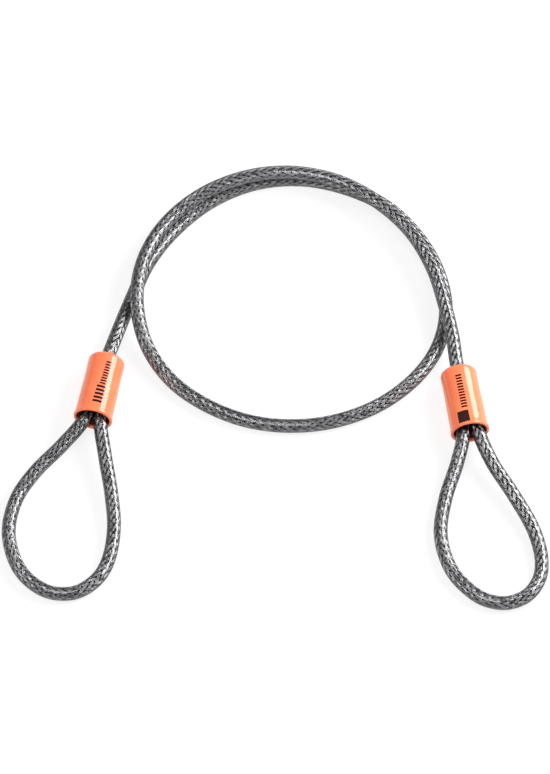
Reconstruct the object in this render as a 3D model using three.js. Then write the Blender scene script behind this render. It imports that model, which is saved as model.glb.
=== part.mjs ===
// Braided steel security cable with an eye at each end, laid down as one and three quarter
// turns of a ring with both eyes pointing the same way.
// The cable is a rope core in a wire braid in a clear vinyl jacket. Behind each eye its cut end
// lies beside the cable in an oval crimped ferrule, and a moulded sleeve covers the ferrule.
// Millimetres, +Z up. The part lies on the plane z = 0.
import * as THREE from "three";

// Cable
const cableDiameter = 10;
const jacketWall = 0.45;
const braidDiameter = 8.3;
const braidThickness = 0.95;
const coreDiameter = 5.5;
const jacketSides = 10;
const braidSides = 8;
const coreSides = 6;
const cableSteps = 128;

// Ferrule: an oval tube round two parallel legs of the cable
const legSpacing = 10.4;
const ferruleClearance = 0.45;
const ferruleWall = 0.85;
const ferruleStart = 12;
const ferruleLength = 17;

// Sleeve: a drafted cup with a rolled lip at its mouth and a hole for the cable in its end
const sleeveLength = 51;
const sleeveSides = 24;
const sleeveBore = 11.75;
const lipRadius = 14.1;
const lipLength = 3;
const lipBlend = 0.6;
const mouthRadius = 13.6;
const shoulderRadius = 13.2;
const shoulderRounding = 4;
const endWall = 1.4;
const endHole = 6.2;

// The lathe has a facet at its lowest point, so that flat is what rests on the plane.
const sleeveAxisHeight = lipRadius * Math.cos(Math.PI / sleeveSides);

// Each sleeve stands at the middle of its mouth, turned about +Z from the +Y direction.
const leftSleeve = { x: -130, y: -29.8, turnDegrees: -11.7 };
const rightSleeve = { x: 139.2, y: -40.5, turnDegrees: 9.85 };

// Middle line of the cable from one cut end to the other.
const route = [
  // left sleeve: cut end and right-hand leg
  [-119.4, -4, 14],
  [-121.8, -16, 14],
  [-124.4, -30, 13.4],
  // left eye
  [-121, -58, 10.5],
  [-116.4, -88, 8],
  [-114.6, -116, 6],
  [-119.6, -143.2, 5.1],
  [-128.3, -157.3, 5],
  [-142.3, -166.3, 5],
  [-159.5, -166, 5],
  [-174, -156.8, 5],
  [-184, -142, 5.1],
  [-189.4, -117, 6],
  [-184, -91.5, 8],
  [-170.8, -70.2, 9.5],
  [-151.4, -49, 11.5],
  [-135.9, -28.8, 13.4],
  // left sleeve: left-hand leg, then out through the end
  [-132.1, -13.5, 14],
  [-129.6, -2, 14],
  [-119.5, 22, 13.8],
  // ring, first pass
  [-112.3, 46, 8.5],
  [-101.8, 77, 5.3],
  [-90, 106, 5],
  [-71.5, 132.5, 5],
  [-45, 156.5, 5],
  [-14, 171, 5],
  [19, 174.3, 5],
  [51, 167, 5],
  [80, 151.5, 5],
  [102, 127, 5],
  [117, 97, 5],
  [122.3, 65, 5],
  [116.3, 35.2, 5],
  [100.7, 10, 5],
  [75.2, -11.9, 5],
  [44, -25.5, 5],
  [12, -29.8, 5],
  [-20, -25.5, 5],
  [-51, -11.5, 5.1],
  [-75, 8.5, 5.5],
  [-92, 35.3, 9],
  // ring, second pass, on top of the first
  [-98.8, 67.4, 15],
  [-94.3, 100.5, 15.6],
  [-78.7, 131.5, 14.3],
  [-52, 156.5, 14.6],
  [-20, 170.5, 15.5],
  [12, 174, 15.5],
  [44, 167.2, 15.5],
  [72, 150.7, 15.5],
  [96, 126.5, 15.4],
  [112.5, 95.5, 15.4],
  [121.5, 63.7, 15.5],
  [127, 37, 15.4],
  [130.6, 12, 14.1],
  // right sleeve: right-hand leg
  [139.7, -14, 14],
  [142.1, -26.5, 14],
  [145.8, -42, 13.4],
  // right eye
  [155.1, -64.2, 11.5],
  [169.6, -88.2, 9],
  [184, -116, 6.5],
  [189.4, -138.5, 5.1],
  [187.8, -155, 5],
  [179.1, -168.5, 5],
  [164.4, -174.7, 5],
  [148.6, -171.7, 5],
  [135.9, -161.9, 5],
  [124.8, -146.5, 5.1],
  [117.9, -120, 6],
  [121.4, -91.2, 8],
  [129.8, -63.2, 10.5],
  [134, -43, 13.4],
  // right sleeve: left-hand leg and cut end
  [131.8, -28.5, 14],
  [129.6, -16.5, 14],
];

const materials = {
  core: new THREE.MeshStandardMaterial({ color: 0x6f7376, roughness: 0.45, metalness: 1 }),
  braid: new THREE.MeshStandardMaterial({ color: 0x9a9da0, roughness: 0.3, metalness: 1 }),
  jacket: new THREE.MeshStandardMaterial({
    color: 0xe8eeee,
    roughness: 0.08,
    metalness: 0,
    transparent: true,
    opacity: 0.3,
  }),
  ferrule: new THREE.MeshStandardMaterial({ color: 0xb9bbbd, roughness: 0.4, metalness: 1 }),
  sleeve: new THREE.MeshStandardMaterial({ color: 0xf97b50, roughness: 0.25, metalness: 0 }),
};

function namedMesh(name, geometry, material) {
  const mesh = new THREE.Mesh(geometry, material);
  mesh.name = name;
  return mesh;
}

// A regular polygon's corners, counter-clockwise.
function roundOutline(radius, sides) {
  const corners = [];
  for (let i = 0; i < sides; i += 1) {
    const angle = (i / sides) * 2 * Math.PI;
    corners.push(new THREE.Vector2(radius * Math.cos(angle), radius * Math.sin(angle)));
  }
  return corners;
}

// Two half circles of the given radius with their centres a spacing apart, counter-clockwise.
function ovalOutline(radius, spacing) {
  const stepsPerEnd = 10;
  const corners = [];
  for (const side of [1, -1]) {
    for (let i = 0; i <= stepsPerEnd; i += 1) {
      const angle = (i / stepsPerEnd - 0.5) * Math.PI;
      corners.push(
        new THREE.Vector2(
          side * (spacing / 2 + radius * Math.cos(angle)),
          side * radius * Math.sin(angle),
        ),
      );
    }
  }
  return corners;
}

function hollowShape(outline, hole) {
  const shape = new THREE.Shape(outline);
  shape.holes.push(new THREE.Path(hole));
  return shape;
}

function cablePath() {
  const path = new THREE.CatmullRomCurve3(
    route.map(([x, y, z]) => new THREE.Vector3(x, y, z)),
    false,
    "centripetal",
  );
  path.arcLengthDivisions = 20 * route.length;
  return path;
}

function alongCable(shape) {
  return new THREE.ExtrudeGeometry(shape, {
    steps: cableSteps,
    bevelEnabled: false,
    extrudePath: cablePath(),
  });
}

function makeJacket() {
  const outer = cableDiameter / 2;
  const section = hollowShape(
    roundOutline(outer, jacketSides),
    roundOutline(outer - jacketWall, jacketSides),
  );
  return namedMesh("vinyl_jacket", alongCable(section), materials.jacket);
}

function makeBraid() {
  const outer = braidDiameter / 2;
  const section = hollowShape(
    roundOutline(outer, braidSides),
    roundOutline(outer - braidThickness, braidSides),
  );
  return namedMesh("wire_braid", alongCable(section), materials.braid);
}

function makeCore() {
  const section = new THREE.Shape(roundOutline(coreDiameter / 2, coreSides));
  return namedMesh("steel_core", alongCable(section), materials.core);
}

// Runs along the sleeve's own +Y, which is the sleeve's axis.
function makeFerrule(name) {
  const inner = cableDiameter / 2 + ferruleClearance;
  const section = hollowShape(
    ovalOutline(inner + ferruleWall, legSpacing),
    ovalOutline(inner, legSpacing),
  );
  const tube = new THREE.ExtrudeGeometry(section, {
    depth: ferruleLength,
    bevelEnabled: false,
  });
  tube.rotateX(-Math.PI / 2);
  tube.translate(0, ferruleStart, 0);
  return namedMesh(name, tube, materials.ferrule);
}

// Points of an arc in a section, from one angle to another in quarter turns.
function arc(centreRadius, centreAlong, radius, from, to) {
  const stepsPerQuarter = 3;
  const steps = Math.round(Math.abs(to - from) * stepsPerQuarter);
  const points = [];
  for (let i = 0; i <= steps; i += 1) {
    const angle = (from + (i / steps) * (to - from)) * (Math.PI / 2);
    points.push([
      centreRadius + radius * Math.cos(angle),
      centreAlong + radius * Math.sin(angle),
    ]);
  }
  return points;
}

// Half of the sleeve's section, radius against distance from the mouth, as a closed loop.
function sleeveProfile() {
  const rim = (lipRadius - sleeveBore) / 2;
  const profile = [
    ...arc(sleeveBore + rim, rim, rim, -2, 0),
    [lipRadius, lipLength - lipBlend],
    [mouthRadius, lipLength],
    ...arc(
      shoulderRadius - shoulderRounding,
      sleeveLength - shoulderRounding,
      shoulderRounding,
      0,
      1,
    ),
    [endHole, sleeveLength],
    [endHole, sleeveLength - endWall],
    [sleeveBore - endWall, sleeveLength - endWall],
    [sleeveBore, sleeveLength - 2 * endWall],
    [sleeveBore, rim],
  ];
  return profile.map(([radius, along]) => new THREE.Vector2(radius, along));
}

function makeSleeve(name) {
  const shell = new THREE.LatheGeometry(sleeveProfile(), sleeveSides);
  shell.rotateY(Math.PI / sleeveSides);
  return namedMesh(name, shell, materials.sleeve);
}

// A sleeve and its ferrule share one frame: origin at the mouth, +Y along the axis.
function makeTermination(side, place) {
  const termination = new THREE.Group();
  termination.add(makeSleeve(side + "_sleeve"), makeFerrule(side + "_ferrule"));
  termination.position.set(place.x, place.y, sleeveAxisHeight);
  termination.rotation.z = THREE.MathUtils.degToRad(place.turnDegrees);
  return termination;
}

const group = new THREE.Group();
group.name = "double_loop_cable";
group.add(
  makeCore(),
  makeBraid(),
  makeJacket(),
  makeTermination("left", leftSleeve),
  makeTermination("right", rightSleeve),
);

export default group;
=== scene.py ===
"""Looks of the double-loop security cable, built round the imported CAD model.

Metres, +Z up, in the CAD model's own frame. The cable is a twisted core, sixteen braided carriers
of fine wire and a clear vinyl jacket, all following one route. A sleeve and a ferrule sit behind
each eye.
"""
import math

import bpy
import numpy as np
from mathutils import Matrix, Vector


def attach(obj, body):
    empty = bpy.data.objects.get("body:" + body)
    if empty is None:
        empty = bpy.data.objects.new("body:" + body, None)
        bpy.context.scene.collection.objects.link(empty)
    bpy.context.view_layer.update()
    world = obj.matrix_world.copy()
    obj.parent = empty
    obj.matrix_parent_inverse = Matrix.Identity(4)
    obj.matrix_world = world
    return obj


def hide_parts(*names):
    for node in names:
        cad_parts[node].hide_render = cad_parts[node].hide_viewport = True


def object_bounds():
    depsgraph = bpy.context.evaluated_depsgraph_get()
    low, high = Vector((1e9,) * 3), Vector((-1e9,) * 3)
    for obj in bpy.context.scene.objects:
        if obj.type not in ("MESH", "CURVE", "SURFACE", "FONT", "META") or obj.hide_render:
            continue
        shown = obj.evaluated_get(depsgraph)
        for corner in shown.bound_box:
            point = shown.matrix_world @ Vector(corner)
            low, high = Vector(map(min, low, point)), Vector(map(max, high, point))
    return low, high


MM = 0.001

# Cable
CABLE_RADIUS = 5 * MM
JACKET_INNER = 4.9 * MM
JACKET_SIDES = 28
JACKET_STEP = 1.5 * MM
# What the vinyl lets through at its outline, dark there partly as painted shade, and the largest share of
# light that its gloss takes
JACKET_EDGE_TINT = (0.3, 0.3, 0.3)
MOST_GLOSS = 0.06

# Braid: carriers of parallel wires, half of them each way round, two over and two under
CARRIERS_EACH_WAY = 8
BRAID_LAY = 51 * MM
BRAID_RADIUS = 4.33 * MM
BRAID_RISE = 0.28 * MM
BRAID_STEEPNESS = 2.5
BRAID_STEP = 0.8 * MM
FLOAT_CROSSINGS = 2
WIRES_PER_CARRIER = 4
WIRE_DIAMETER = 0.46 * MM

# Core: strands laid round a middle one
CORE_STRANDS = 6
CORE_RADIUS = 3.8 * MM
STRAND_GROOVE = 0.16
CORE_LAY = 36 * MM
CORE_STEP = 1.5 * MM
CORE_SIDES = 24

# Sleeve, in its own frame: origin at the middle of the mouth, +Y along the axis
SLEEVE_LENGTH = 51 * MM
SLEEVE_AXIS_HEIGHT = 13.98 * MM
SLEEVE_SIDES = 96
LEFT_SLEEVE = (-130, -29.8, -11.7)
RIGHT_SLEEVE = (139.2, -40.5, 9.85)

# Ferrule, in the sleeve's frame
LEG_SPACING = 10.4 * MM
FERRULE_INNER = 5.35 * MM
FERRULE_WALL = 0.85 * MM
FERRULE_START = 12 * MM
FERRULE_LENGTH = 17 * MM
FERRULE_WAISTS = 3
WAIST_DEPTH = 0.22 * MM
RIM_SOFTENING = 0.35 * MM

# Middle line of the cable in millimetres, from one cut end to the other, as in the CAD model
ROUTE = [
    # left sleeve: cut end and right-hand leg
    (-119.4, -4, 14), (-121.8, -16, 14), (-124.4, -30, 13.4),
    # left eye
    (-121, -58, 10.5), (-116.4, -88, 8), (-114.6, -116, 6), (-119.6, -143.2, 5.1),
    (-128.3, -157.3, 5), (-142.3, -166.3, 5), (-159.5, -166, 5), (-174, -156.8, 5),
    (-184, -142, 5.1), (-189.4, -117, 6), (-184, -91.5, 8), (-170.8, -70.2, 9.5),
    (-151.4, -49, 11.5), (-135.9, -28.8, 13.4),
    # left sleeve: left-hand leg, then out through the end
    (-132.1, -13.5, 14), (-129.6, -2, 14), (-119.5, 22, 13.8),
    # ring, first pass
    (-112.3, 46, 8.5), (-101.8, 77, 5.3), (-90, 106, 5), (-71.5, 132.5, 5), (-45, 156.5, 5),
    (-14, 171, 5), (19, 174.3, 5), (51, 167, 5), (80, 151.5, 5), (102, 127, 5), (117, 97, 5),
    (122.3, 65, 5), (116.3, 35.2, 5), (100.7, 10, 5), (75.2, -11.9, 5), (44, -25.5, 5),
    (12, -29.8, 5), (-20, -25.5, 5), (-51, -11.5, 5.1), (-75, 8.5, 5.5), (-92, 35.3, 9),
    # ring, second pass, on top of the first
    (-98.8, 67.4, 15), (-94.3, 100.5, 15.6), (-78.7, 131.5, 14.3), (-52, 156.5, 14.6),
    (-20, 170.5, 15.5), (12, 174, 15.5), (44, 167.2, 15.5), (72, 150.7, 15.5), (96, 126.5, 15.4),
    (112.5, 95.5, 15.4), (121.5, 63.7, 15.5), (127, 37, 15.4), (130.6, 12, 14.1),
    # right sleeve: right-hand leg
    (139.7, -14, 14), (142.1, -26.5, 14), (145.8, -42, 13.4),
    # right eye
    (155.1, -64.2, 11.5), (169.6, -88.2, 9), (184, -116, 6.5), (189.4, -138.5, 5.1),
    (187.8, -155, 5), (179.1, -168.5, 5), (164.4, -174.7, 5), (148.6, -171.7, 5),
    (135.9, -161.9, 5), (124.8, -146.5, 5.1), (117.9, -120, 6), (121.4, -91.2, 8),
    (129.8, -63.2, 10.5), (134, -43, 13.4),
    # right sleeve: left-hand leg and cut end
    (131.8, -28.5, 14), (129.6, -16.5, 14),
]

# Camera: a long lens from well above the near side
CAMERA_ELEVATION = math.radians(60)
CAMERA_DISTANCE = 15
CAMERA_AIM_SHIFT = 5.3 * MM
VIEW_HEIGHT = 0.5529
SENSOR_LONG_SIDE = 36

# The print on each sleeve: rows of plain bars, as centre, half width, start, end and count,
# in turns round the sleeve and shares of its length. A lean is how far a row drifts in turns
BAR_SHARE = 0.62
LEFT_LEAN = 0.037
RIGHT_LEAN = 0
LEFT_PRINT = [(0.485, 0.028, 0.45, 0.845, 9), (0.488, 0.04, 0.147, 0.45, 5)]
RIGHT_PRINT = [(0.52, 0.027, 0.275, 0.83, 12), (0.545, 0.05, 0.04, 0.34, 1)]

# Floor and light
FLOOR_HALF_WIDTH = 3
FLOOR_DROP = 0.2 * MM
FLOOR_GLOW = 0.8
LIGHT_DISTANCE = 1.5
WORLD_LEFT = 0.26
WORLD_RIGHT = 0.36


# ---------------------------------------------------------------- camera

def make_camera(middle):
    """Frames VIEW_HEIGHT of the object from the front, with its middle a little below centre."""
    aim = Vector((middle.x, middle.y + CAMERA_AIM_SHIFT, 0))
    back = Vector((0, -math.cos(CAMERA_ELEVATION), math.sin(CAMERA_ELEVATION)))
    data = bpy.data.cameras.new("camera")
    data.sensor_width = SENSOR_LONG_SIDE
    data.lens = SENSOR_LONG_SIDE * CAMERA_DISTANCE / VIEW_HEIGHT
    data.clip_end = 4 * CAMERA_DISTANCE
    camera = bpy.data.objects.new("camera", data)
    bpy.context.collection.objects.link(camera)
    camera.location = aim + back * CAMERA_DISTANCE
    camera.rotation_euler = back.to_track_quat("Z", "Y").to_euler()
    bpy.context.scene.camera = camera


# ---------------------------------------------------------------- the cable's route

def smooth_route(points, samples_per_span=24):
    """Centripetal Catmull-Rom curve through the points, the same one that the CAD model uses."""
    points = np.array(points, float)
    padded = np.vstack([2 * points[0] - points[1], points, 2 * points[-1] - points[-2]])
    share = (np.arange(samples_per_span) / samples_per_span)[:, None]
    spans = []
    for p0, p1, p2, p3 in zip(padded, padded[1:], padded[2:], padded[3:]):
        d0, d1, d2 = (math.sqrt(np.linalg.norm(b - a)) for a, b in ((p0, p1), (p1, p2), (p2, p3)))
        t1 = ((p1 - p0) / d0 - (p2 - p0) / (d0 + d1) + (p2 - p1) / d1) * d1
        t2 = ((p2 - p1) / d1 - (p3 - p1) / (d1 + d2) + (p3 - p2) / d2) * d1
        square = -3 * p1 + 3 * p2 - 2 * t1 - t2
        cube = 2 * p1 - 2 * p2 + t1 + t2
        spans.append(p1 + t1 * share + square * share**2 + cube * share**3)
    return np.vstack(spans + [points[-1:]])


class Cable:
    """The route as evenly spaced points with a frame at each that doesn't twist."""

    SPACING = 0.5 * MM

    def __init__(self, points):
        curve = smooth_route(points) * MM
        reached = np.r_[0, np.cumsum(np.linalg.norm(np.diff(curve, axis=0), axis=1))]
        self.length = float(reached[-1])
        count = int(self.length / self.SPACING) + 1
        self.distance = np.linspace(0, self.length, count)
        self.point = np.stack([np.interp(self.distance, reached, curve[:, k]) for k in range(3)], 1)
        self.tangent = np.gradient(self.point, axis=0)
        self.tangent /= np.linalg.norm(self.tangent, axis=1)[:, None]
        self.side = self._sides()
        self.up = np.cross(self.tangent, self.side)

    def _sides(self):
        side = np.cross((0.0, 0.0, 1.0), self.tangent[0])
        sides = []
        for tangent in self.tangent:
            side = side - tangent * side.dot(tangent)
            side = side / np.linalg.norm(side)
            sides.append(side)
        return np.array(sides)

    def at(self, distance, angle, radius):
        """Points at these distances along the cable, angles round it and radii from its middle."""
        def read(values):
            return np.stack([np.interp(distance, self.distance, values[:, k]) for k in range(3)], -1)

        outward = read(self.side) * np.cos(angle)[..., None] + read(self.up) * np.sin(angle)[..., None]
        return read(self.point) + outward * np.asarray(radius)[..., None]

    def steps(self, spacing, margin=0.0):
        count = int((self.length - 2 * margin) / spacing) + 1
        return np.linspace(margin, self.length - margin, count)


# ---------------------------------------------------------------- meshes

def grid_faces(rings, sides, first=0, flip=False):
    """Quads between successive closed rings of vertices."""
    ring = np.arange(rings - 1)[:, None] * sides
    side = np.arange(sides)[None, :]
    after = (side + 1) % sides
    quads = np.stack([ring + side, ring + after, ring + sides + after, ring + sides + side], -1)
    quads = quads.reshape(-1, 4) + first
    return (quads[:, ::-1] if flip else quads).tolist()


def mesh_piece(name, vertices, faces, material, uv=None, sharp=None):
    mesh = bpy.data.meshes.new(name)
    mesh.from_pydata(np.asarray(vertices).tolist(), [], faces)
    mesh.polygons.foreach_set("use_smooth", [True] * len(mesh.polygons))
    if sharp is not None:
        mesh.set_sharp_from_angle(angle=math.radians(sharp))
    if uv is not None:
        corners = np.empty(len(mesh.loops), dtype=np.int32)
        mesh.loops.foreach_get("vertex_index", corners)
        layer = mesh.uv_layers.new(name="surface")
        layer.data.foreach_set("uv", np.asarray(uv)[corners].ravel())
    mesh.materials.append(material)
    piece = bpy.data.objects.new(name, mesh)
    bpy.context.collection.objects.link(piece)
    return piece


def rod_piece(name, rings, material, uv=None, sharp=None):
    """A solid of closed rings, capped at both ends."""
    count, sides = rings.shape[:2]
    faces = [*grid_faces(count, sides)]
    faces.append(list(range(sides))[::-1])
    faces.append(list(range((count - 1) * sides, count * sides)))
    return mesh_piece(name, rings.reshape(-1, 3), faces, material, uv, sharp)


def wall_piece(name, outer, inner, material, uv=None, sharp=None):
    """A tube wall between two sets of rings with as many sides, closed at both ends."""
    count, sides = outer.shape[:2]
    inside = count * sides
    faces = [*grid_faces(count, sides), *grid_faces(count, sides, inside, flip=True)]
    for start, flip in ((0, True), ((count - 1) * sides, False)):
        for k in range(sides):
            after = (k + 1) % sides
            rim = [start + k, start + after, inside + start + after, inside + start + k]
            faces.append(rim[::-1] if flip else rim)
    vertices = np.vstack([outer.reshape(-1, 3), inner.reshape(-1, 3)])
    return mesh_piece(name, vertices, faces, material, uv, sharp)


# ---------------------------------------------------------------- materials

def new_material(name):
    material = bpy.data.materials.new(name)
    material.use_nodes = True
    nodes = material.node_tree.nodes
    return material, nodes, material.node_tree.links, nodes["Principled BSDF"]


def noise(nodes, links, scale, detail=2.0, source="Object"):
    coordinates = nodes.new("ShaderNodeTexCoord")
    texture = nodes.new("ShaderNodeTexNoise")
    texture.inputs["Scale"].default_value = scale
    texture.inputs["Detail"].default_value = detail
    links.new(coordinates.outputs[source], texture.inputs["Vector"])
    return texture.outputs["Fac"]


def colour_ramp(nodes, links, value, dark, light, low=0.3, high=0.7):
    ramp = nodes.new("ShaderNodeValToRGB")
    ramp.color_ramp.elements[0].position = low
    ramp.color_ramp.elements[0].color = (*dark, 1)
    ramp.color_ramp.elements[1].position = high
    ramp.color_ramp.elements[1].color = (*light, 1)
    links.new(value, ramp.inputs["Fac"])
    return ramp.outputs["Color"]


def value_range(nodes, links, value, low, high):
    scale = nodes.new("ShaderNodeMapRange")
    scale.inputs["To Min"].default_value = low
    scale.inputs["To Max"].default_value = high
    links.new(value, scale.inputs["Value"])
    return scale.outputs["Result"]


def mixed_colour(nodes, links, factor, first, second):
    mix = nodes.new("ShaderNodeMix")
    mix.data_type = "RGBA"
    links.new(factor, mix.inputs["Factor"])
    links.new(first, mix.inputs["A"])
    mix.inputs["B"].default_value = second
    return mix.outputs["Result"]


def math_node(nodes, links, operation, first, second):
    node = nodes.new("ShaderNodeMath")
    node.operation = operation
    for socket, value in zip(node.inputs, (first, second)):
        if isinstance(value, (int, float)):
            socket.default_value = value
        else:
            links.new(value, socket)
    return node.outputs["Value"]


def bump(nodes, links, height, shader, distance, strength=1.0):
    node = nodes.new("ShaderNodeBump")
    node.inputs["Strength"].default_value = strength
    node.inputs["Distance"].default_value = distance
    links.new(height, node.inputs["Height"])
    links.new(node.outputs["Normal"], shader.inputs["Normal"])


def wire_material():
    """Bright drawn steel wire, uneven in tone, with painted shade where a carrier dips under its
    neighbours.
    """
    material, nodes, links, shader = new_material("braid_wire")
    shader.inputs["Metallic"].default_value = 1
    patches = noise(nodes, links, 260, 3)
    tone = colour_ramp(nodes, links, patches, (0.13, 0.127, 0.13), (0.46, 0.45, 0.46))
    weave = nodes.new("ShaderNodeUVMap")
    weave.uv_map = "surface"
    split = nodes.new("ShaderNodeSeparateXYZ")
    links.new(weave.outputs["UV"], split.inputs["Vector"])
    # Painted shade: a carrier's base colour goes near black where it dips under its neighbours.
    painted_under_shade = value_range(nodes, links, split.outputs["X"], 0.45, 0.0)
    tone = mixed_colour(nodes, links, painted_under_shade, tone, (0.03, 0.029, 0.029, 1))
    links.new(tone, shader.inputs["Base Color"])
    roughness = value_range(nodes, links, noise(nodes, links, 900, 1), 0.24, 0.4)
    links.new(roughness, shader.inputs["Roughness"])
    return material


def core_material():
    """Dull galvanised strand, its near-black base colour painted shade for the gaps in the braid."""
    material, nodes, links, shader = new_material("core_wire")
    shader.inputs["Metallic"].default_value = 1
    patches = noise(nodes, links, 400, 3)
    # Painted shade: the core's colour is kept near black so the gaps in the braid read as shade.
    tone = colour_ramp(nodes, links, patches, (0.008, 0.008, 0.008), (0.035, 0.034, 0.034))
    links.new(tone, shader.inputs["Base Color"])
    shader.inputs["Roughness"].default_value = 0.6
    return material


def jacket_material():
    """Clear gloss vinyl, faintly smoky and darker towards its edges: partly the longer path through the
    vinyl, partly painted shade along the outline.
    """
    material = bpy.data.materials.new("clear_vinyl")
    material.use_nodes = True
    nodes, links = material.node_tree.nodes, material.node_tree.links
    nodes.remove(nodes["Principled BSDF"])
    waves = nodes.new("ShaderNodeBump")
    waves.inputs["Strength"].default_value = 0.25
    waves.inputs["Distance"].default_value = 0.12 * MM
    links.new(noise(nodes, links, 420, 2), waves.inputs["Height"])
    facing = nodes.new("ShaderNodeLayerWeight")
    facing.inputs["Blend"].default_value = 0.5
    side = nodes.new("ShaderNodeNewGeometry")
    front = math_node(nodes, links, "SUBTRACT", 1, side.outputs["Backfacing"])
    # Painted shade: the vinyl lets less light through towards the cable's outline. This is partly the
    # longer path through it and partly painted shade on the edges.
    smoke_and_edge_shade = math_node(nodes, links, "MULTIPLY", facing.outputs["Facing"], front)
    clear = nodes.new("ShaderNodeBsdfTransparent")
    tint = colour_ramp(nodes, links, smoke_and_edge_shade, (0.97, 0.975, 0.975), JACKET_EDGE_TINT, 0.25, 0.95)
    links.new(tint, clear.inputs["Color"])
    gloss = nodes.new("ShaderNodeBsdfGlossy")
    gloss.inputs["Color"].default_value = (1, 1, 1, 1)
    roughness = value_range(nodes, links, noise(nodes, links, 120, 2), 0.03, 0.08)
    links.new(roughness, gloss.inputs["Roughness"])
    links.new(waves.outputs["Normal"], gloss.inputs["Normal"])
    edge = nodes.new("ShaderNodeFresnel")
    edge.inputs["IOR"].default_value = 1.5
    links.new(waves.outputs["Normal"], edge.inputs["Normal"])
    share = math_node(nodes, links, "MINIMUM", edge.outputs["Fac"], MOST_GLOSS)
    share = math_node(nodes, links, "MULTIPLY", share, front)
    mix = nodes.new("ShaderNodeMixShader")
    links.new(share, mix.inputs["Fac"])
    links.new(clear.outputs["BSDF"], mix.inputs[1])
    links.new(gloss.outputs["BSDF"], mix.inputs[2])
    links.new(mix.outputs["Shader"], nodes["Material Output"].inputs["Surface"])
    return material


class SleeveMap:
    """The sleeve's map as sockets: turns round it, 0.5 at the top, and share of its length.

    lean is how far the turns drift from the mouth to the far end.
    """

    def __init__(self, nodes, links, lean):
        self.nodes, self.links = nodes, links
        surface = nodes.new("ShaderNodeUVMap")
        surface.uv_map = "surface"
        split = nodes.new("ShaderNodeSeparateXYZ")
        links.new(surface.outputs["UV"], split.inputs["Vector"])
        self.along = split.outputs["Y"]
        self.around = self.math("ADD", split.outputs["X"], self.math("MULTIPLY", self.along, lean))

    def math(self, operation, first, second=0):
        return math_node(self.nodes, self.links, operation, first, second)

    def inner_side(self):
        return self.math("LESS_THAN", self.along, -0.02)

    def bars(self, centre, half_width, start, end, count):
        """1 on a row of bars that fills a rectangle of the map."""
        off_centre = self.math("ABSOLUTE", self.math("SUBTRACT", self.around, centre))
        across = self.math("LESS_THAN", off_centre, half_width)
        after = self.math("GREATER_THAN", self.along, start)
        before = self.math("LESS_THAN", self.along, end)
        row = self.math("MULTIPLY", self.math("SUBTRACT", self.along, start), count / (end - start))
        bar = self.math("LESS_THAN", self.math("FRACT", row), BAR_SHARE)
        within = self.math("MULTIPLY", after, before)
        return self.math("MULTIPLY", self.math("MULTIPLY", across, bar), within)


def sleeve_material(name, lean, rows):
    """Gloss orange plastic with painted shade inside, where the bore is coloured dark red, and rows of
    plain dark bars printed along its upper side.

    Each row is a place in the sleeve's map and a count: centre, half width, start, end, bars.
    """
    material, nodes, links, shader = new_material(name)
    surface = SleeveMap(nodes, links, lean)
    tone = colour_ramp(
        nodes, links, noise(nodes, links, 90, 3), (0.93, 0.195, 0.084), (0.97, 0.228, 0.1)
    )
    # Painted shade: the inside of the sleeve gets a dark red base colour for the shade in its bore.
    tone = mixed_colour(nodes, links, surface.inner_side(), tone, (0.3, 0.025, 0.014, 1))
    for row in rows:
        tone = mixed_colour(nodes, links, surface.bars(*row), tone, (0.03, 0.005, 0.004, 1))
    links.new(tone, shader.inputs["Base Color"])
    roughness = value_range(nodes, links, noise(nodes, links, 300, 2), 0.12, 0.18)
    links.new(roughness, shader.inputs["Roughness"])
    shader.inputs["IOR"].default_value = 1.5
    bump(nodes, links, noise(nodes, links, 160, 2), shader, 0.2 * MM, 0.5)
    return material


def ferrule_material():
    """Pressed aluminium, satin."""
    material, nodes, links, shader = new_material("ferrule_metal")
    shader.inputs["Metallic"].default_value = 1
    tone = colour_ramp(nodes, links, noise(nodes, links, 500, 4), (0.5, 0.51, 0.52), (0.72, 0.73, 0.74))
    links.new(tone, shader.inputs["Base Color"])
    roughness = value_range(nodes, links, noise(nodes, links, 1500, 2), 0.3, 0.5)
    links.new(roughness, shader.inputs["Roughness"])
    return material


# ---------------------------------------------------------------- cable pieces

def make_jacket(cable, material):
    distance = cable.steps(JACKET_STEP)[:, None]
    angle = np.linspace(0, 2 * math.pi, JACKET_SIDES, endpoint=False)[None, :]
    distance, angle = np.broadcast_arrays(distance, angle)
    full = np.ones_like(angle)
    outer = cable.at(distance, angle, full * CABLE_RADIUS)
    inner = cable.at(distance, angle, full * JACKET_INNER)
    jacket = wall_piece("jacket", outer, inner, material, sharp=50)
    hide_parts("vinyl_jacket")
    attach(jacket, "root")
    return jacket


def weave_height(lattice):
    """From +1 where a carrier lies over to -1 where it lies under, against crossings passed."""
    period = 2 * FLOAT_CROSSINGS
    wave = np.cos(2 * math.pi * (lattice - (FLOAT_CROSSINGS - 1) / 2) / period)
    return np.tanh(BRAID_STEEPNESS * wave) / math.tanh(BRAID_STEEPNESS)


def carrier_section():
    """A carrier's cross-section as offsets across it and up from its middle: round wires side by side."""
    radius = WIRE_DIAMETER / 2
    crown = np.linspace(math.pi, 0, 5)
    first = -(WIRES_PER_CARRIER - 1) * radius
    across, height = [], []
    for k in range(WIRES_PER_CARRIER):
        across.extend(first + 2 * radius * k + radius * np.cos(crown[:-1]))
        height.extend(radius * np.sin(crown[:-1]))
    half = WIRES_PER_CARRIER * radius
    below = -0.8 * radius
    return np.r_[across, half, half, -half], np.r_[height, 0, below, below]


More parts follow.
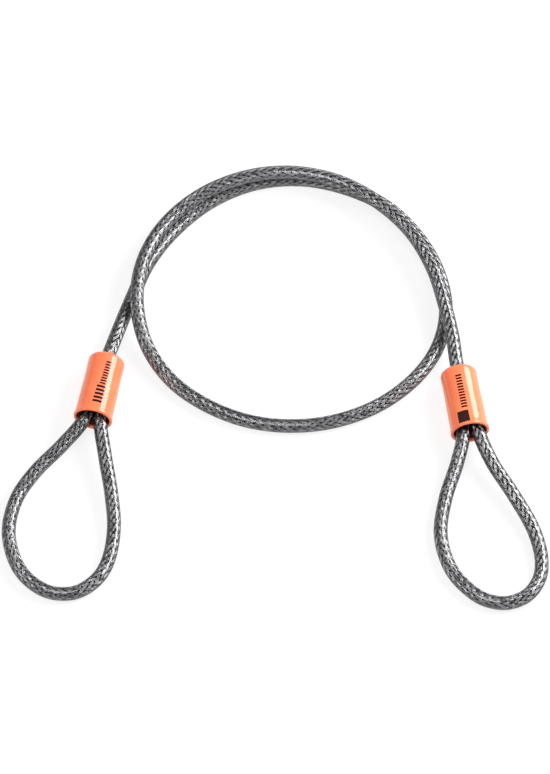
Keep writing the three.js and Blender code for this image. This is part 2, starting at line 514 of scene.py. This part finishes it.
def make_carrier(cable, material, way, index):
    """One carrier: way is +1 or -1 for which way round it winds."""
    pitch_angle = math.atan2(2 * math.pi * BRAID_RADIUS, BRAID_LAY)
    across, height = carrier_section()
    middle = cable.steps(BRAID_STEP, margin=2 * MM)[:, None]
    distance = middle - way * across * math.sin(pitch_angle)
    turn = 2 * math.pi
    middle_angle = way * turn * middle / BRAID_LAY + turn * index / CARRIERS_EACH_WAY
    angle = middle_angle + across * math.cos(pitch_angle) / BRAID_RADIUS
    crossed = CARRIERS_EACH_WAY * (angle / turn + way * distance / BRAID_LAY)
    over = way * weave_height(crossed + index)
    rings = cable.at(distance, angle, BRAID_RADIUS + BRAID_RISE * over + height)
    surface = np.stack([(1 + over) / 2, np.broadcast_to(across, over.shape) / WIRE_DIAMETER], -1)
    if way < 0:
        rings, surface = rings[:, ::-1], surface[:, ::-1]
    name = f"carrier_{'right' if way > 0 else 'left'}_{index + 1}"
    carrier = rod_piece(name, rings[:, ::-1], material, uv=surface[:, ::-1].reshape(-1, 2))
    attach(carrier, "root")
    return carrier


def make_core(cable, material):
    distance = cable.steps(CORE_STEP)[:, None]
    round_it = np.linspace(0, 2 * math.pi, CORE_SIDES, endpoint=False)[None, :]
    lobes = np.abs(np.cos(CORE_STRANDS / 2 * round_it))
    radius = CORE_RADIUS * (1 - STRAND_GROOVE + STRAND_GROOVE * lobes)
    angle = round_it + 2 * math.pi * distance / CORE_LAY
    distance, radius = np.broadcast_arrays(distance, radius)
    core = rod_piece("core", cable.at(distance, angle, radius), material)
    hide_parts("steel_core")
    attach(core, "root")
    return core


def make_cable():
    cable = Cable(ROUTE)
    jacket = make_jacket(cable, jacket_material())
    ways = (1, -1)
    wire = wire_material()
    carriers = [make_carrier(cable, wire, way, k) for way in ways for k in range(CARRIERS_EACH_WAY)]
    for carrier in carriers:
        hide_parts("wire_braid")
    core = make_core(cable, core_material())


# ---------------------------------------------------------------- sleeves and ferrules

def arc(centre, radius, start, end, steps):
    """Points on an arc in a profile, angles in degrees from straight outwards towards +Y."""
    angles = np.radians(np.linspace(start, end, steps + 1))
    return [(centre[0] + radius * math.cos(a), centre[1] + radius * math.sin(a)) for a in angles]


def sleeve_profile():
    """The sleeve's half section in millimetres, radius against distance from the mouth."""
    length = SLEEVE_LENGTH / MM
    body = [(13.6, 4.5), (13.5, 8), (13.42, 14), (13.3, 22), (13.1, 30), (12.98, 37), (13.12, 43)]
    outside = [
        *arc((12.95, 1.15), 1.15, -180, 20, 14),
        *arc((14.3, 2.9), 0.6, 240, 190, 3),
        *body,
        *arc((9.2, length - 4), 4.0, 5, 90, 12),
        *arc((6.6, length - 0.4), 0.4, 90, 180, 4),
    ]
    inside = [(6.2, length - 1.4), (10.35, length - 1.4), (11.75, length - 2.8), (11.75, 12), (11.75, 4)]
    return outside, inside


def placed(piece, place):
    x, y, degrees = place
    position = Matrix.Translation((x * MM, y * MM, SLEEVE_AXIS_HEIGHT))
    piece.data.transform(position @ Matrix.Rotation(math.radians(degrees), 4, "Z"))
    return piece


def make_sleeve(side, place, lean, rows):
    outside, inside = sleeve_profile()
    profile = np.array(outside + inside)
    radius, along = profile[:, 0, None] * MM, profile[:, 1, None] * MM
    turn = np.linspace(0, 2 * math.pi, SLEEVE_SIDES, endpoint=False)[None, :]
    x, z = radius * np.sin(turn), -radius * np.cos(turn)
    rings = np.stack([x, np.broadcast_to(along, x.shape), z], -1)
    inner_side = np.arange(len(profile)) >= len(outside)
    share = np.where(inner_side, -1, 1)[:, None] * along / SLEEVE_LENGTH
    turns = np.broadcast_to(turn / (2 * math.pi), x.shape)
    uv = np.stack([turns, np.broadcast_to(share, x.shape)], -1)
    count = len(profile)
    faces = [*grid_faces(count, SLEEVE_SIDES, flip=True)]
    last = (count - 1) * SLEEVE_SIDES
    for k in range(SLEEVE_SIDES):
        after = (k + 1) % SLEEVE_SIDES
        faces.append([last + after, last + k, k, after][::-1])
    material = sleeve_material(f"{side}_sleeve_plastic", lean, rows)
    vertices = rings.reshape(-1, 3)
    sleeve = mesh_piece(f"{side}_sleeve_shell", vertices, faces, material, uv.reshape(-1, 2), 40)
    placed(sleeve, place)
    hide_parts(f"{side}_sleeve")
    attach(sleeve, "root")


def oval_rings(radius_and_along, steps=14):
    """Rings of two half circles, their centres LEG_SPACING apart, one for each (radius, along)."""
    rings = []
    half_turn = np.linspace(-math.pi / 2, math.pi / 2, steps)
    for radius, along in radius_and_along:
        right = LEG_SPACING / 2 + radius * np.cos(half_turn)
        x = np.r_[right, -right]
        z = np.r_[radius * np.sin(half_turn), -radius * np.sin(half_turn)]
        rings.append(np.stack([x, np.full_like(x, along), z], -1))
    return np.array(rings)


def make_ferrule(side, place, material):
    """An oval tube with three pressed waists and softened rims."""
    stations = np.linspace(0, 1, 41)
    waists = np.clip(np.cos(stations * FERRULE_WAISTS * 2 * math.pi), -1, 0) * WAIST_DEPTH
    near_rim = np.clip(1 - stations * 20, 0, 1) ** 2
    far_rim = np.clip(stations * 20 - 19, 0, 1) ** 2
    rim = RIM_SOFTENING * (near_rim + far_rim)
    outer_radius = FERRULE_INNER + FERRULE_WALL + waists - rim
    along = FERRULE_START + stations * FERRULE_LENGTH
    outer = oval_rings(zip(outer_radius, along))
    inner = oval_rings((FERRULE_INNER, a) for a in along)
    ferrule = wall_piece(f"{side}_crimp", outer[:, ::-1], inner[:, ::-1], material, sharp=50)
    placed(ferrule, place)
    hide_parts(f"{side}_ferrule")
    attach(ferrule, "root")


# ---------------------------------------------------------------- floor and light

def make_floor():
    """A pale light table: its own glow keeps the shadows faint."""
    half = FLOOR_HALF_WIDTH
    corners = np.array([(-half, -half, 0), (half, -half, 0), (half, half, 0), (-half, half, 0)], float)
    material, nodes, links, shader = new_material("floor")
    tone = colour_ramp(nodes, links, noise(nodes, links, 3, 2), (0.19, 0.19, 0.19), (0.21, 0.21, 0.21))
    links.new(tone, shader.inputs["Base Color"])
    shader.inputs["Roughness"].default_value = 0.9
    shader.inputs["Specular IOR Level"].default_value = 0.1
    shader.inputs["Emission Color"].default_value = (1, 1, 1, 1)
    shader.inputs["Emission Strength"].default_value = FLOOR_GLOW
    floor = mesh_piece("floor", corners, [[0, 1, 2, 3]], material)
    floor.location.z = -FLOOR_DROP


def area_light(name, direction, width, height, power, along):
    """A rectangular light aimed at the middle of the part, its height along a world direction."""
    towards = Vector(direction).normalized()
    data = bpy.data.lights.new(name, "AREA")
    data.shape = "RECTANGLE"
    data.size, data.size_y = width, height
    data.energy = power
    light = bpy.data.objects.new(name, data)
    bpy.context.collection.objects.link(light)
    x_axis = Vector(along).cross(towards).normalized()
    y_axis = towards.cross(x_axis)
    turned = Matrix((x_axis, y_axis, towards)).transposed().to_4x4()
    light.matrix_world = Matrix.Translation(towards * LIGHT_DISTANCE) @ turned


def make_world():
    """Even studio surround, dimmer on the left than on the right."""
    world = bpy.data.worlds.new("studio")
    world.use_nodes = True
    nodes, links = world.node_tree.nodes, world.node_tree.links
    background = nodes["Background"]
    background.inputs["Color"].default_value = (0.95, 0.96, 1.0, 1)
    towards = nodes.new("ShaderNodeTexCoord")
    split = nodes.new("ShaderNodeSeparateXYZ")
    links.new(towards.outputs["Generated"], split.inputs["Vector"])
    level = nodes.new("ShaderNodeMapRange")
    level.inputs["From Min"].default_value = -1
    level.inputs["From Max"].default_value = 1
    level.inputs["To Min"].default_value = WORLD_LEFT
    level.inputs["To Max"].default_value = WORLD_RIGHT
    links.new(split.outputs["X"], level.inputs["Value"])
    links.new(level.outputs["Result"], background.inputs["Strength"])
    bpy.context.scene.world = world


def make_lights():
    area_light("key_strip", (0.72, 0.33, 0.61), 0.78, 1.3, 35, (0, 0.9, -0.45))
    area_light("overhead_box", (-0.13, -0.22, 0.97), 0.62, 0.7, 8.5, (0, 1, 0))
    area_light("left_box", (-0.86, -0.3, 0.4), 0.4, 0.9, 5, (0, 1, 0))
    make_world()
    bpy.context.scene.view_settings.view_transform = "Standard"


# ---------------------------------------------------------------- the scene

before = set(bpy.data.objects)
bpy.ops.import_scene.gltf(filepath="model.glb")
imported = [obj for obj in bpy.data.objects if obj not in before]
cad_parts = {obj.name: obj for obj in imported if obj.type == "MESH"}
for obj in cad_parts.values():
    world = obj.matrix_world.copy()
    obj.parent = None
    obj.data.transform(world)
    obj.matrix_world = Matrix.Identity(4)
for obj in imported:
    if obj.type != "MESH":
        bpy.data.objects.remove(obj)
cad_low, cad_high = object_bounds()
make_camera((cad_low + cad_high) / 2)
make_cable()
metal = ferrule_material()
make_sleeve("left", LEFT_SLEEVE, LEFT_LEAN, LEFT_PRINT)
make_sleeve("right", RIGHT_SLEEVE, RIGHT_LEAN, RIGHT_PRINT)
make_ferrule("left", LEFT_SLEEVE, metal)
make_ferrule("right", RIGHT_SLEEVE, metal)
make_floor()
make_lights()
